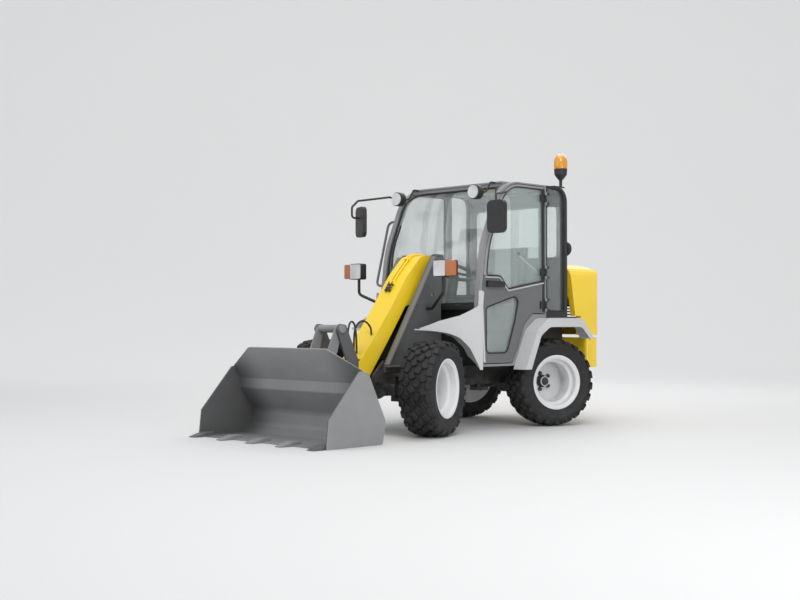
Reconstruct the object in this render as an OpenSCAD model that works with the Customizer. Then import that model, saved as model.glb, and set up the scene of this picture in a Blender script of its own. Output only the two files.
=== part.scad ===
// Compact rigid-frame wheel loader with all-wheel steering, boom, quick hitch and bucket.
// Millimetres, +X forward, +Y left, +Z up, origin on the ground under the middle of the machine.

/* [Running gear] */
// Front kingpins ahead of the origin
front_axle_x = 550; // [500:5:600]
// Distance between the front and rear kingpins
wheelbase = 1553; // [1500:5:1620]
// Distance between the left and right kingpins
kingpin_span = 674; // [640:2:700]
// Kingpin to the middle plane of the tyre
wheel_offset = 220; // [205:1:235]
// Outer diameter of the tyres over the lugs
tyre_d = 720; // [690:2:740]
// Width of the tyres
tyre_w = 280; // [240:2:290]
// Height of the tread blocks
lug_h = 16; // [8:1:24]
// Tread blocks in one row around a tyre
lug_count = 20; // [12:1:24]
// Diameter over the rim flanges
rim_d = 446; // [420:2:470]
// Thickness of the rim's pressed steel
rim_t = 7; // [5:0.5:10]
// Wheel bolt circle diameter
bolt_circle = 140; // [120:1:160]
// Radius of the axle tubes
axle_r = 58; // [45:1:65]
// Radius of the kingpins
kingpin_r = 20; // [15:0.5:26]
// Steering angle of the front wheels at rest, the rear wheels turn the other way
steer_rest = 20; // [0:1:30]

/* [Frame and tower] */
// Inner width between the frame rails
rail_gap = 280; // [260:2:300]
// Thickness of the frame rails
rail_t = 18; // [10:1:22]
// Radius of the lashing holes through the frame's nose
lashing_r = 18; // [12:0.5:22]
// Thickness of the tower plates
tower_t = 12; // [8:1:16]
// Width of the flange along the tower's front edge
tower_flange_w = 46; // [30:1:55]
// Height of the boom pivot
pivot_z = 1320; // [1290:2:1350]
// Radius of the boom pivot and hitch pins
pivot_pin_r = 25; // [18:0.5:30]

/* [Boom and cylinders] */
// Width of the boom
boom_w = 210; // [190:2:230]
// Thickness of the boom plates
boom_t = 10; // [6:1:14]
// Radius of the lift cylinder barrel
lift_r = 38; // [30:1:42]
// Radius of the tilt cylinder barrel
tilt_r = 32; // [25:1:35]
// Radius of the piston rods
rod_r = 20; // [14:1:24]
// Radius of the cylinder eye pins
eye_pin_r = 18; // [14:0.5:22]

/* [Bucket and hitch] */
// Width of the bucket
bucket_w = 1440; // [1300:10:1560]
// Thickness of the bucket plates
bucket_t = 12; // [8:1:16]
// Width of the spill guard's top edge
guard_top_w = 876; // [700:4:1000]
// Number of bucket teeth
tooth_count = 5; // [3:1:7]
// Width of a tooth
tooth_w = 70; // [50:1:90]
// Thickness of the hitch plates
hitch_t = 16; // [10:1:20]
// Radius of the hitch cross tube
hitch_tube_r = 30; // [22:1:34]

/* [Cab] */
// Overall width of the cab
cab_w = 1100; // [1060:2:1130]
// Thickness of the cab walls and of the door
wall_t = 42; // [34:1:48]
// Thickness of the window panes
glass_t = 6; // [4:0.5:8]
// Height of the roof's top
roof_z = 1985; // [1960:1:2030]
// Thickness of the roof shell
roof_t = 18; // [12:1:26]
// Gap between the door and its frame
door_gap = 7; // [5:0.5:10]
// Outer diameter of the steering wheel
steering_wheel_d = 360; // [320:5:400]

/* [Bodywork] */
// Thickness of the fender shells
fender_t = 10; // [6:1:14]
// Reach of the front fenders inwards from their outer panel
front_fender_w = 120; // [80:2:140]
// Reach of the rear fenders beyond the cab's sides
rear_fender_w = 130; // [110:2:150]
// Inset of the engine hood from the cab's sides
hood_inset = 30; // [20:1:50]
// Thickness of the hood shell
hood_t = 16; // [10:1:20]
// Radius of the drawbar pin hole in the tow jaw
tow_bore_r = 16; // [10:0.5:20]
// Side of a headlamp
headlamp_size = 130; // [110:2:150]
// Radius of a work lamp
work_lamp_r = 58; // [45:1:65]
// Radius of the beacon dome
beacon_r = 58; // [48:1:64]

/* [Hidden] */
$fn = 48;

// Clearances
run_fit = 0.06;
face_gap = 2;
skin_gap = 0.3;

// Colours
yellow = [0.96, 0.77, 0.08];
light_grey = [0.82, 0.83, 0.82];
mid_grey = [0.46, 0.47, 0.47];
dark_grey = [0.33, 0.34, 0.35];
bucket_grey = [0.52, 0.53, 0.54];
black = [0.09, 0.09, 0.1];
steel = [0.72, 0.73, 0.74];
rubber = [0.14, 0.14, 0.15];
clear = [0.75, 0.85, 0.84, 0.45];
amber = [0.95, 0.5, 0.05];
red = [0.75, 0.08, 0.06];

// Wheels
tyre_r = tyre_d / 2;
axle_z = tyre_r;
rear_axle_x = front_axle_x - wheelbase;
kingpin_y = kingpin_span / 2;
rim_r = rim_d / 2;
bead_r = rim_r - 26;
rim_half_w = 123;
disc_inset = 117;
diff_r = 106;
knuckle_r = 46;
knuckle_half_h = 78;
yoke_t = 26;
spindle_r = 25;
hub_r = 72;
hub_face = wheel_offset - disc_inset - rim_t;

// Frame and tower
rail_in = rail_gap / 2;
rail_out = rail_in + rail_t;
tower_in = rail_out;
tower_out = tower_in + tower_t;
rail_z = 490;
nose_x = front_axle_x + 170;
rail_end_x = rear_axle_x - 637;
boss_t = 12;
pivot = [5, pivot_z];
hitch = [945, 300];
tilt_offset = [-15, -160];
tilt_base = pivot + tilt_offset;
tilt_end = hitch + tilt_offset;
lift_base = [-60, 430];
lift_end = pivot + [154, -257];
lift_y = 50;
tilt_y = -50;
eye_w = 52;
boom_half = boom_w / 2;

// Cab
cab_y = cab_w / 2;
cab_in = cab_y - wall_t;
cab_front = [-31, 985];
cab_foot = [-60, 505];
pillar_bend = [-88, 1450];
pillar_lean = 0.43;
cab_back_x = rear_axle_x - 167;
cab_back_z = 870;
door_heel_z = 925;
door_top_z = roof_z - 19;
pane_top_z = door_top_z - 20;
pillar_w = 40;
frame_w = 32;
hinge_x = rear_axle_x + 137;
hinge_y = cab_y + 12;
hinge_heights = [994, 1262, 1872];
hinge_half = 30;
hinge_r = 10;
hinge_pin_r = 5;
platform_z = 905;
arch_knee = [rear_axle_x + 389, 765];
arch_foot = [rear_axle_x + 529, 505];
arch_top = [rear_axle_x + 246, 890];
cab_len = -124 - cab_back_x;
floor_t = 22;

// Engine bay
hood_hinge = [cab_back_x - 92, 1366];
hood_half = cab_y - hood_inset;
hood_top_z = 1345;
hood_pin_r = 6;
hood_pin_y = hood_half - 120;
hood_foot = 742;
tail_x = rear_axle_x - 527;

function unit(v) = v / norm(v);
function turn(a, b) = a[0] * b[1] - a[1] * b[0];

// One rounded corner of an outline at b, between a and c
function corner(a, b, c, r, n) =
  let(u = unit(a - b), v = unit(c - b), half = acos(max(-1, min(1, u * v))) / 2)
  r <= 0 || half > 89.5 ? [b] :
  let(mid = b + unit(u + v) * r / sin(half),
      from = atan2((b + u * r / tan(half) - mid)[1], (b + u * r / tan(half) - mid)[0]),
      sweep = (turn(u, v) > 0 ? -1 : 1) * (180 - 2 * half))
  [for (i = [0:n]) mid + r * [cos(from + sweep * i / n), sin(from + sweep * i / n)]];

// An outline whose points are [x, y, corner radius]
function rounded(p, n = 6) = let(k = len(p))
  [for (i = [0:k - 1]) let(a = p[(i + k - 1) % k], b = p[i], c = p[(i + 1) % k])
    each corner([a[0], a[1]], [b[0], b[1]], [c[0], c[1]], len(b) > 2 ? b[2] : 0, n)];

// A side outline drawn in X and Z, from y0 to y0 + t
module plate(y0, t) translate([0, y0 + t, 0]) rotate([90, 0, 0]) linear_extrude(t) children();

// A front outline drawn in Y and Z, from x0 to x0 + t
module wall(x0, t) translate([x0, 0, 0]) rotate([90, 0, 90]) linear_extrude(t) children();

// A plan outline drawn in X and Y, from z0 to z0 + t
module slab(z0, t) translate([0, 0, z0]) linear_extrude(t) children();

module both_sides() {
  children();
  mirror([0, 1, 0]) children();
}

// A round bar across the machine at p = [x, z]
module cross_bar(p, r, y0, y1) translate([p[0], y0, p[1]]) rotate([-90, 0, 0]) cylinder(r = r, h = y1 - y0);

// A round bar between two points
module bar(a, b, r) {
  d = b - a;
  translate(a) rotate([0, acos(d[2] / norm(d)), atan2(d[1], d[0])]) cylinder(r = r, h = norm(d));
}

// A tube of round section swept along points, with a ring at each
module swept(path, r, sides = 10) {
  n = len(path);
  way = [for (i = [0:n - 1]) unit(path[min(i + 1, n - 1)] - path[max(i - 1, 0)])];
  first = abs(way[0][2]) < 0.9 ? [0, 0, 1] : [1, 0, 0];
  side = frames(way, unit(cross(way[0], first)), 0);
  pts = [for (i = [0:n - 1]) let(u = side[i], v = cross(way[i], u))
    for (k = [0:sides - 1]) path[i] + r * (cos(360 * k / sides) * u + sin(360 * k / sides) * v)];
  faces = concat(
    [[for (k = [0:sides - 1]) k]],
    [for (i = [0:n - 2], k = [0:sides - 1]) let(a = i * sides + k, b = i * sides + (k + 1) % sides)
      [a, a + sides, b + sides, b]],
    [[for (k = [sides - 1:-1:0]) (n - 1) * sides + k]]);
  polyhedron(pts, faces, convexity = 6);
}

function frames(way, u, i) = i >= len(way) ? [] :
  let(v = unit(u - way[i] * (u * way[i]))) concat([v], frames(way, v, i + 1));

// Rounds the bends of a tube's route: straight runs with arcs of radius r
function bent(p, r, n = 4) = [for (i = [0:len(p) - 1])
  each i == 0 || i == len(p) - 1 ? [p[i]] :
    let(u = unit(p[i - 1] - p[i]), v = unit(p[i + 1] - p[i]), half = acos(u * v) / 2, d = r / tan(half),
        mid = p[i] + unit(u + v) * r / sin(half), a = p[i] + u * d - mid, e = p[i] + v * d - mid)
    [for (k = [0:n]) let(f = (180 - 2 * half) * k / n)
      mid + (sin(180 - 2 * half - f) * a + sin(f) * e) / sin(180 - 2 * half)]];

// Frame

rail_outline = [[nose_x, 290], [nose_x, 450], [nose_x - 110, 560], [-20, 560], [-90, rail_z],
  [rear_axle_x - 147, rail_z], [rear_axle_x - 197, 560], [rail_end_x, 560], [rail_end_x, 420],
  [rear_axle_x - 227, 340], [rear_axle_x - 130, 290],
  [rear_axle_x + 130, 290], [rear_axle_x + 190, 340], [front_axle_x - 330, 340], [front_axle_x - 240, 290]];

module chassis_frame() color(black) {
  difference() {
    union() {
      both_sides() plate(rail_in, rail_t) polygon(rail_outline);
      for (x = [front_axle_x - 250, front_axle_x - 0.56 * wheelbase, rear_axle_x + 303, rear_axle_x - 237, rail_end_x + 20])
        wall(x, 12) translate([-rail_in - 1, 396]) square([rail_gap + 2, 90]);
      wall(nose_x - 14, 12) translate([-rail_in - 1, 292]) square([rail_gap + 2, 44]);
      cross_bar(lift_base, eye_pin_r, -rail_in - 1, rail_in + 1);
    }
    for (x = [front_axle_x, rear_axle_x])
      cross_bar([x, axle_z], axle_r + skin_gap, -rail_out - 1, rail_out + 1);
    cross_bar([nose_x - 45, 380], lashing_r, -rail_out - 1, rail_out + 1);
  }
}

tower_outline = [[nose_x - 108, 470], [nose_x - 108, 530], [95, 1375, 20], [72, pivot_z + 74, 20],
  [-48, pivot_z + 74, 30], [-48, 1100, 60], [-12, 1030, 60], [-30, 470, 20]];

// The raised cover over the tower's upper part
cover_t = 4;
cover_outline = [[78, 1376], [-44, pivot_z + 70, 28], [-44, 1000, 50], [20, 985, 40], [312, 985]];

module boom_tower() color(dark_grey) difference() {
  union() {
    both_sides() {
      plate(tower_in, tower_t) polygon(rounded(tower_outline));
      plate(tower_out - 1, tower_flange_w + 1) polygon([[nose_x - 108, 530], [95, 1375], [82, 1375], [nose_x - 122, 530]]);
      plate(tower_out - 1, tower_flange_w + 1)
        polygon([[nose_x - 108, 512], [nose_x - 108, 524], [nose_x - 370, 524], [nose_x - 370, 512]]);
      cross_bar(pivot, 48, tower_out - 1, tower_out + boss_t);
    }
    both_sides() plate(tower_out - 1, cover_t + 1) polygon(rounded(cover_outline));
    wall(-14, 12) translate([-tower_in - 1, 930]) square([2 * tower_in + 2, 100]);
    cross_bar(tilt_base, eye_pin_r, -tower_in - 1, tower_in + 1);
  }
  cross_bar(pivot, pivot_pin_r + run_fit, -300, 300);
  both_sides() cross_bar([83, 1071], 13, tower_in - 1, tower_out + cover_t + 1);
}

module engine_block() color(black)
  translate([tail_x + 10, -230, 560]) cube([280, 460, 470]);

// One axle with its differential and the yokes round the kingpins
module axle(x) color(black) translate([x, 0, axle_z]) difference() {
  union() {
    rotate([90, 0, 0]) cylinder(r = axle_r, h = 2 * kingpin_y - 130, center = true);
    intersection() {
      sphere(r = diff_r);
      cube([260, rail_gap - 4, 260], center = true);
    }
    both_sides() for (s = [-1, 1]) {
      translate([0, 0, s * (knuckle_half_h + face_gap + yoke_t / 2)]) linear_extrude(yoke_t, center = true)
        polygon(rounded([[-52, kingpin_y - 110], [-46, kingpin_y + 44, 40], [46, kingpin_y + 44, 40],
          [52, kingpin_y - 110]]));
    }
    both_sides() translate([-52, kingpin_y - 110, -knuckle_half_h - face_gap - yoke_t])
      cube([104, 44, 2 * (knuckle_half_h + face_gap + yoke_t)]);
  }
  both_sides() translate([0, kingpin_y, 0]) cylinder(r = kingpin_r + run_fit, h = 400, center = true);
}

module front_axle() axle(front_axle_x);
module rear_axle() axle(rear_axle_x);

module drive_shaft() color(black)
  bar([rear_axle_x + diff_r + skin_gap, 0, axle_z], [front_axle_x - diff_r - skin_gap, 0, axle_z], 30);

// Wheels: placed at a kingpin, turned to the rest steering angle, axis along local +Y outwards
module at_wheel(x, side, steer) translate([x, side * kingpin_y, axle_z]) rotate([0, 0, steer])
  mirror([0, side < 0 ? 1 : 0, 0]) children();

module about_axis() rotate([-90, 0, 0]) children();

module knuckle(x, side, steer) color(black) at_wheel(x, side, steer) {
  cylinder(r = knuckle_r, h = 2 * knuckle_half_h, center = true);
  cylinder(r = kingpin_r, h = 2 * (knuckle_half_h + face_gap + yoke_t) + 8, center = true);
  about_axis() cylinder(r = 60, h = hub_face - 22 - face_gap);
  about_axis() cylinder(r = spindle_r, h = hub_face + 30);
}

module knuckle_fl() knuckle(front_axle_x, 1, steer_rest);
module knuckle_fr() knuckle(front_axle_x, -1, steer_rest);
module knuckle_rl() knuckle(rear_axle_x, 1, -steer_rest);
module knuckle_rr() knuckle(rear_axle_x, -1, -steer_rest);

// Rim section, [radius, distance from the tyre's middle plane]
rim_section = [[rim_r, rim_half_w], [rim_r, rim_half_w - rim_t], [bead_r, rim_half_w - rim_t - 4], [bead_r, 60],
  [bead_r - 24, 46], [bead_r - 24, -40], [bead_r, -54], [bead_r, -rim_half_w + rim_t + 4], [rim_r, -rim_half_w + rim_t],
  [rim_r, -rim_half_w], [bead_r - rim_t, -rim_half_w], [bead_r - rim_t, -disc_inset - rim_t + 6],
  [bead_r - rim_t, -58], [bead_r - 24 - rim_t, -44], [bead_r - 24 - rim_t, 50], [bead_r - rim_t, 64],
  [bead_r - rim_t, rim_half_w - 12], [rim_r - 12, rim_half_w]];

module rim(x, side, steer) color(steel) at_wheel(x, side, steer) translate([0, wheel_offset, 0]) about_axis() {
  rotate_extrude($fn = 64) polygon(rim_section);
  difference() {
    union() {
      rotate_extrude() polygon([[0, -disc_inset], [0, -disc_inset - rim_t], [bead_r - rim_t + 1, -disc_inset - rim_t],
        [bead_r - rim_t + 1, -disc_inset + 3], [bead_r - 30, -disc_inset + 3], [bead_r - 60, -disc_inset]]);
      translate([0, 0, -disc_inset - rim_t - 20]) cylinder(r = hub_r, h = 21);
      translate([0, 0, -disc_inset - 1]) cylinder(r = 40, h = 55);
      for (k = [0:4]) rotate([0, 0, 72 * k]) translate([bolt_circle / 2, 0, -disc_inset - 1])
        cylinder(r = 15, h = 18, $fn = 6);
    }
    translate([0, 0, -disc_inset - rim_t - 21]) cylinder(r = spindle_r + run_fit, h = 56);
  }
}

module rim_fl() rim(front_axle_x, 1, steer_rest);
module rim_fr() rim(front_axle_x, -1, steer_rest);
module rim_rl() rim(rear_axle_x, 1, -steer_rest);
module rim_rr() rim(rear_axle_x, -1, -steer_rest);

tyre_half = tyre_w / 2;
carcass_r = tyre_r - lug_h;
shoulder_w = tyre_half - 26;
tyre_section = [[bead_r + skin_gap, rim_half_w - rim_t - 6], [rim_r + 2, rim_half_w - rim_t - 1],
  [rim_r + 4, rim_half_w + 2], [rim_r + 34, tyre_half - 4], [rim_r + 62, tyre_half], [carcass_r - 34, tyre_half - 5],
  [carcass_r - 10, shoulder_w + 6], [carcass_r, shoulder_w - 16]];

module tyre(x, side, steer) color(rubber) at_wheel(x, side, steer) translate([0, wheel_offset, 0]) about_axis() {
  rotate_extrude($fn = 64) polygon(concat(tyre_section,
    [for (i = [len(tyre_section) - 1:-1:0]) [tyre_section[i][0], -tyre_section[i][1]]]));
  for (k = [0:lug_count - 1], s = [-1, 1]) {
    rotate([0, 0, 360 / lug_count * (k + (s > 0 ? 0 : 0.5))]) {
      translate([carcass_r - 30, -24, s > 0 ? 34 : -tyre_half + 6]) cube([30 + lug_h, 48, tyre_half - 40]);
    }
  }
}

module tyre_fl() tyre(front_axle_x, 1, steer_rest);
module tyre_fr() tyre(front_axle_x, -1, steer_rest);
module tyre_rl() tyre(rear_axle_x, 1, -steer_rest);
module tyre_rr() tyre(rear_axle_x, -1, -steer_rest);

// Boom and cylinders

boom_outline = [[-48, 1312, 10], [-40, 1384, 60], [140, 1384, 120], [307, 1212, 500], [495, 946], [657, 740],
  [812, 554], [988, 345, 50], [985, 240, 50], [880, 268, 40], [700, 456], [476, 760], [320, 980, 20],
  [lift_end[0] + 30, lift_end[1] - 48, 30], [lift_end[0] - 46, lift_end[1] - 48, 40],
  [lift_end[0] - 46, lift_end[1] + 90, 60], [60, 1268, 40], [-5, 1268, 30]];
lug_outline = [[lift_end[0] - 44, lift_end[1] - 46, 40], [lift_end[0] + 30, lift_end[1] - 46, 30], [340, 1120],
  [303, 1207], [244, 1273], [lift_end[0] - 44, lift_end[1] + 90, 40]];
boom_hollow = [[120, 1280], [150, 1340, 30], [297, 1201, 480], [486, 939], [648, 733], [786, 567],
  [830, 620], [1100, 300], [1000, 100], [700, 300], [250, 760], [90, 980], [95, 1225]];

module boom() color(yellow) difference() {
  union() {
    difference() {
      plate(-boom_half, boom_w) polygon(rounded(boom_outline));
      plate(-boom_half + boom_t, boom_w - 2 * boom_t) polygon(rounded(boom_hollow));
    }
    plate(lift_y - eye_w / 2 - face_gap - boom_t, boom_t) polygon(rounded(lug_outline));
    cross_bar(hitch, 56, -boom_half - 4, boom_half + 4);
    cross_bar(pivot, 48, -tower_in + face_gap, tower_in - face_gap);
    cross_bar(pivot, pivot_pin_r, -tower_out - boss_t - 6, tower_out + boss_t + 6);
    cross_bar(lift_end, 26, boom_half - 1, boom_half + 8);
  }
  cross_bar(hitch, pivot_pin_r + run_fit, -boom_half - 5, boom_half + 5);
}

// The two steel pipes along the boom's top, down to their couplings, with the clips that hold them
pipe_r = 8;
pipe_lift = 11;
pipe_y = [-34, 2];
boom_top = [[20, 1384], [140, 1384], [307, 1212], [495, 946]];

// Point a share f of the way along run k of the boom's top, raised d off its surface
function over_boom(k, f, d) = let(a = boom_top[k], b = boom_top[k + 1], u = unit(b - a)) a + f * (b - a) + d * [-u[1], u[0]];

// Where two neighbouring runs meet when both are raised by d
function over_bend(k, d) = let(a = boom_top[k] - boom_top[k - 1], b = boom_top[k + 1] - boom_top[k],
  n = unit([-unit(a)[1] - unit(b)[1], unit(a)[0] + unit(b)[0]])) boom_top[k] + n * d / (n * [-unit(b)[1], unit(b)[0]]);

module boom_pipes() color(yellow) {
  ends = [over_boom(0, 0, pipe_lift), over_bend(1, pipe_lift), over_bend(2, pipe_lift), over_boom(2, 0.38, pipe_lift)];
  for (y = pipe_y) {
    swept(bent([for (q = ends) [q[0], y, q[1]]], 120), pipe_r);
    for (f = [0.3, 0.35]) let(a = over_boom(2, f, pipe_lift), b = over_boom(2, f + 0.035, pipe_lift))
      bar([a[0], y, a[1]], [b[0], y, b[1]], pipe_r + 2.5);
  }
  for (k = [1, 2]) plate(pipe_y[0] - 14, pipe_y[1] - pipe_y[0] + 28)
    polygon([over_boom(k, 0.16, skin_gap), over_boom(k, 0.16, 22), over_boom(k, 0.25, 22), over_boom(k, 0.25, skin_gap)]);
}

lift_way = unit(lift_end - lift_base);
tilt_way = unit(tilt_end - tilt_base);
lift_len = norm(lift_end - lift_base);
tilt_len = norm(tilt_end - tilt_base);
lift_barrel_len = 600;
tilt_barrel_len = 800;

// Draws along a cylinder's own axis: origin at the base pin, local +X towards the rod's eye
module along(base, way, y) translate([base[0], y, base[1]]) rotate([0, -atan2(way[1], way[0]), 0]) children();

module barrel(r, length) difference() {
  union() {
    rotate([90, 0, 0]) cylinder(r = r, h = eye_w, center = true);
    rotate([0, 90, 0]) cylinder(r = r, h = length);
    translate([length - 50, 0, 0]) rotate([0, 90, 0]) cylinder(r = r + 5, h = 50);
  }
  rotate([90, 0, 0]) cylinder(r = eye_pin_r + run_fit, h = 2 * r + 12, center = true);
  translate([70, 0, 0]) rotate([0, 90, 0]) cylinder(r = rod_r + run_fit, h = length);
}

module rod(inner, length) {
  translate([inner, 0, 0]) rotate([0, 90, 0]) cylinder(r = rod_r, h = length - inner);
  translate([length, 0, 0]) rotate([90, 0, 0]) cylinder(r = 34, h = eye_w, center = true);
}

module lift_barrel() color(black) along(lift_base, lift_way, lift_y) barrel(lift_r, lift_barrel_len);
module lift_rod() color(steel) along(lift_base, lift_way, lift_y) rod(95, lift_len);
module tilt_barrel() color(black) along(tilt_base, tilt_way, tilt_y) barrel(tilt_r, tilt_barrel_len);
module tilt_rod() color(steel) along(tilt_base, tilt_way, tilt_y) rod(240, tilt_len);

// Hitch and bucket

module hitch_pin() color(steel) {
  cross_bar(hitch, pivot_pin_r, -boom_half - 45, boom_half + 45);
}

hitch_top = [1020, 805];
hitch_low = [1105, 240];
hitch_in = boom_half + 9;
hitch_outline = [[975, 835, 25], [845, 560, 60], [850, 430, 60], [885, 280, 40], [960, 215, 20], [1060, 190, 20],
  [1130, 205, 30], [1130, 265, 30], [1010, 345, 60], [960, 470, 60], [965, 560, 60], [1062, 800, 30], [1040, 842, 20]];

module hitch_frame() color(dark_grey) difference() {
  union() {
    both_sides() plate(hitch_in, hitch_t) polygon(rounded(hitch_outline));
    cross_bar(hitch_low, 28, -hitch_in - 1, hitch_in + 1);
    for (y = [tilt_y - eye_w / 2 - face_gap - 12, tilt_y + eye_w / 2 + face_gap]) plate(y, 12)
      polygon(rounded([[tilt_end[0] - 36, tilt_end[1] + 36, 34], [tilt_end[0] - 36, tilt_end[1] - 36, 34],
        [tilt_end[0] + 60, tilt_end[1] - 36, 20], [hitch_low[0] + 20, hitch_low[1] - 30, 20], [hitch_low[0], hitch_low[1] + 20, 20],
        [tilt_end[0] + 60, tilt_end[1] + 36, 30]]));
    both_sides() cross_bar(hitch, 50, hitch_in - 4, hitch_in + hitch_t + 8);
  }
  cross_bar(hitch, pivot_pin_r + run_fit, -300, 300);
  both_sides() cross_bar(hitch_top, hitch_tube_r + skin_gap, hitch_in - 1, hitch_in + hitch_t + 1);
}

// Inner face of the bucket from the guard down the back and along the floor
bucket_face = [[1448, 664], [1316, 428, 10], [1316, 352, 30], [1185, 185, 60], [1205, 60, 70], [1300, bucket_t, 60],
  [1694, bucket_t]];
bucket_side = [[1694, 0], [1672, 199, 10], [1388, 519, 20], [1306, 503, 20], [1140, 165, 40], [1170, 0, 30]];

// The plate profile: the inner face and the same line set back by the plate's thickness
function set_back(p, t) = [for (i = [0:len(p) - 1])
  let(a = p[max(i - 1, 0)], b = p[i], c = p[min(i + 1, len(p) - 1)],
      u = unit([b[0] - a[0], b[1] - a[1]] + [1e-9, 0]), v = unit([c[0] - b[0], c[1] - b[1]] + [1e-9, 0]),
      n = i == 0 ? [v[1], -v[0]] : i == len(p) - 1 ? [u[1], -u[0]] : unit([u[1] + v[1], -u[0] - v[0]]),
      k = i == 0 || i == len(p) - 1 ? 1 : 1 / max(0.3, n * [v[1], -v[0]]))
  [b[0] + n[0] * t * k, b[1] + n[1] * t * k, len(b) > 2 ? b[2] + t / 2 : 0]];

function reversed(p) = [for (i = [len(p) - 1:-1:0]) p[i]];

module bucket_shell() color(bucket_grey) {
  half = bucket_w / 2;
  difference() {
    plate(-half, bucket_w) polygon(rounded(concat(bucket_face, reversed(set_back(bucket_face, bucket_t)))));
    both_sides() wall(1250, 300) polygon([[half + 1, 700], [half + 1, 519], [guard_top_w / 2, 665], [guard_top_w / 2, 700]]);
  }
  both_sides() plate(half - bucket_t, bucket_t) polygon(rounded(bucket_side));
  both_sides() plate(94, 14) polygon(rounded([[990, 810, 20], [1020, 842, 20], [1058, 815, 20], [1150, 600, 60], [1330, 480, 10],
    [1310, 430], [1310, 352], [1188, 200], [1150, 240, 20], [1135, 430, 60], [1040, 640, 60]]));
  cross_bar(hitch_top, hitch_tube_r, -hitch_in - hitch_t - 14, hitch_in + hitch_t + 14);
}

tooth_pitch = (bucket_w - tooth_w - 2 * bucket_t - 10) / (tooth_count - 1);

module bucket_teeth() color(bucket_grey)
  for (k = [0:tooth_count - 1]) plate(-tooth_pitch * (tooth_count - 1) / 2 + k * tooth_pitch - tooth_w / 2, tooth_w)
    polygon([[1694, 1], [1795, 1], [1795, 6], [1690, 34], [1610, 34], [1610, bucket_t], [1694, bucket_t]]);

// Cab

// Point on the leaning front pillar's line at height z, d behind its front edge
function pillar(z, d) = [pillar_bend[0] - (z - pillar_bend[1]) * pillar_lean - d, z];

side_outline = [cab_foot, cab_front, concat(pillar_bend, 900), concat(pillar(roof_z, 0), 300), [cab_back_x, roof_z, 120],
  [cab_back_x, cab_back_z], [arch_top[0] - 60, cab_back_z, 20], [arch_knee[0], arch_knee[1], 80], arch_foot];
door_outline = [[cab_foot[0] - pillar_w, 530, 20], [cab_front[0] - pillar_w, cab_front[1] + 5, 60],
  [pillar_bend[0] - pillar_w, pillar_bend[1], 860], concat(pillar(door_top_z, pillar_w), 270), [hinge_x + 6, door_top_z, 12],
  [hinge_x + 6, door_heel_z, 10], [rear_axle_x + 303, door_heel_z, 60], [rear_axle_x + 413, 830, 60], [rear_axle_x + 468, 690],
  [arch_foot[0] + 30, 530, 20]];
quarter_outline = [[hinge_x - 24, roof_z - 18, 10], [hinge_x - 24, door_heel_z + 21, 15],
  [cab_back_x + 42, door_heel_z + 21, 15], [cab_back_x + 42, roof_z - 18, 85]];
pane_front = [[pillar_bend[0] - pillar_w - frame_w, pillar_bend[1], 830], concat(pillar(pane_top_z, pillar_w + frame_w), 245)];
pane_rear_x = hinge_x + 34;
door_pane = concat([[-132, 1222, 25]], pane_front, [[pane_rear_x, pane_top_z, 18], [pane_rear_x, 1190, 20],
  [0.4 * pane_rear_x - 212, 1146], [0.4 * pane_rear_x - 66, 1120, 15], [0.2 * pane_rear_x - 134, 1222, 60]]);
door_low_pane = [[-128, 610, 40], [-126, 968, 40], [rear_axle_x + 468, 1075, 45], [rear_axle_x + 525, 860, 60],
  [rear_axle_x + 623, 610, 60]];
right_pane = concat([[-112, 1050, 40]], pane_front, [[pane_rear_x, pane_top_z, 18], [pane_rear_x, 1000, 40],
  [rear_axle_x + 503, 1000, 60]]);

module glass_seat(pane, y0) plate(y0, glass_t + 2 * skin_gap) offset_pane(pane, 12);

// A window outline grown by d on every side, for the step that the pane sits in
module offset_pane(pane, d) polygon(grown(rounded(pane), d));

function grown(p, d) = let(k = len(p))
  [for (i = [0:k - 1]) let(a = p[(i + k - 1) % k], b = p[i], c = p[(i + 1) % k],
      u = unit(b - a), v = unit(c - b), m = unit([u[1], -u[0]] + [v[1], -v[0]]), s = spin(p) > 0 ? 1 : -1)
    b + s * m * d / max(0.4, m * [v[1], -v[0]])];
function spin(p) = let(k = len(p)) area_sum([for (i = [0:k - 1]) turn(p[i], p[(i + 1) % k])], 0);
function area_sum(v, i) = i >= len(v) ? 0 : v[i] + area_sum(v, i + 1);

module cab_side_left() color(mid_grey) {
  difference() {
    plate(cab_in, wall_t) polygon(rounded(side_outline));
    plate(cab_in - 1, wall_t + 2) offset_pane(door_outline, door_gap);
    plate(cab_in - 1, wall_t + 2) polygon(rounded(quarter_outline));
    glass_seat(quarter_outline, cab_y - 18);
  }
  for (z = hinge_heights) {
    translate([hinge_x, hinge_y, z - hinge_half - 24]) cylinder(r = hinge_pin_r, h = 2 * hinge_half + 48);
    for (s = [-1, 1]) translate([0, 0, z + s * (hinge_half + 13)]) {
      translate([hinge_x, hinge_y, 0]) cylinder(r = hinge_r, h = 22, center = true);
      translate([hinge_x - 30, cab_y + 4.5, 0]) cube([60 - 2 * hinge_r, 11, 22], center = true);
      translate([hinge_x - 12, cab_y + 4.5, 0]) cube([24, 11, 22], center = true);
    }
  }
}

module cab_side_right() color(mid_grey) mirror([0, 1, 0]) difference() {
  plate(cab_in, wall_t) polygon(rounded(side_outline));
  plate(cab_in - 1, wall_t + 2) polygon(rounded(right_pane));
  plate(cab_in - 1, wall_t + 2) polygon(rounded(quarter_outline));
  glass_seat(quarter_outline, cab_y - 18);
  glass_seat(right_pane, cab_y - 18);
}

module pane(outline, y0) plate(y0 + skin_gap, glass_t) offset_pane(outline, 12 - skin_gap);

module cab_glass() color(clear) {
  pane(quarter_outline, cab_y - 18);
  mirror([0, 1, 0]) pane(quarter_outline, cab_y - 18);
  mirror([0, 1, 0]) pane(right_pane, cab_y - 18);
  rear_pane();
}

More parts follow.
